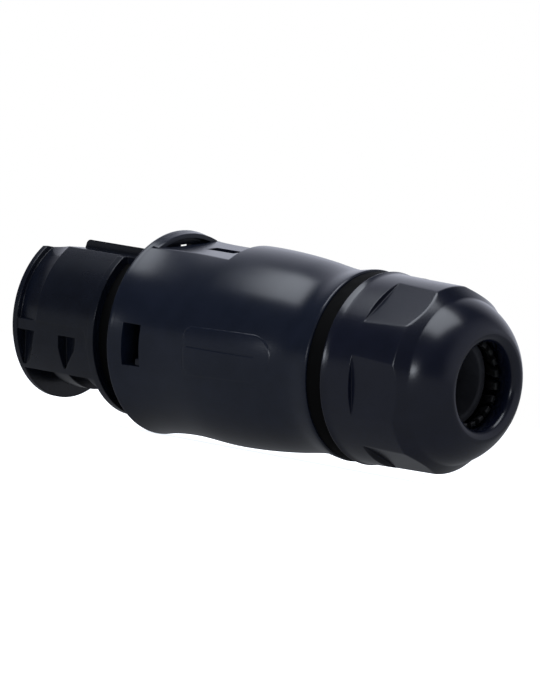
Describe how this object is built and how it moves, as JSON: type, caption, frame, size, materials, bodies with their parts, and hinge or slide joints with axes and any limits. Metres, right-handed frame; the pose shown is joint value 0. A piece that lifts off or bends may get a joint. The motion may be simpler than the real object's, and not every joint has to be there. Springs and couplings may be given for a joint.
{
  "type": "inline socket connector",
  "caption": "Weatherproof inline socket connector with a keyed latching mating end, a waisted barrel and a domed cable gland nut.",
  "frame": {"origin": "centre of the mating face, on the connector's axis", "axes": "+X along the axis from the mating face to the cable entry, +Z out of the key flat of the mating end, as the connector lies, +Y to the connector's far side in the usual view"},
  "size_m": [0.0978, 0.0366, 0.0366],
  "materials": {
    "housing_plastic": "satin moulded black",
    "insert_plastic": "satin moulded black",
    "nut_plastic": "satin moulded black",
    "block_plastic": "satin moulded black",
    "cage_plastic": "dull moulded black",
    "seal_rubber": "matt black",
    "contact_metal": "turned",
    "spring_steel": "rolled",
    "screw_steel": "zinc plated"
  },
  "bodies": {
    "connector": {"housing": "housing_plastic", "coupling_insert": "insert_plastic", "coupling_seal": "seal_rubber", "contact_face": "block_plastic", "contact_block": "block_plastic", "block_retainer": "block_plastic", "block_o_ring": "seal_rubber", "insert_o_ring": "seal_rubber", "nut_seal": "seal_rubber", "earth_contact": "contact_metal", "line_contact": "contact_metal", "neutral_contact": "contact_metal", "earth_spring": "spring_steel", "line_spring": "spring_steel", "neutral_spring": "spring_steel", "earth_screw": "screw_steel", "line_screw": "screw_steel", "neutral_screw": "screw_steel", "earth_wire_guard": "spring_steel", "line_wire_guard": "spring_steel", "neutral_wire_guard": "spring_steel"},
    "clamp": {"clamping_cage": "cage_plastic", "cable_seal": "seal_rubber"},
    "nut": {"gland_nut": "nut_plastic"}
  },
  "joints": [
    {"name": "nut_travel", "type": "slide", "parent": "connector", "child": "clamp", "axis": [1, 0, 0], "range_m": [0, 0.0045]},
    {"name": "nut_turn", "type": "hinge", "parent": "clamp", "child": "nut", "pos_m": [0.08, 0, 0], "axis": [1, 0, 0], "range_deg": [0, 1080]}
  ],
  "couplings": [
    {"joint": "nut_travel", "follows": "nut_turn", "m_per_rad": 0.00023873}
  ]
}
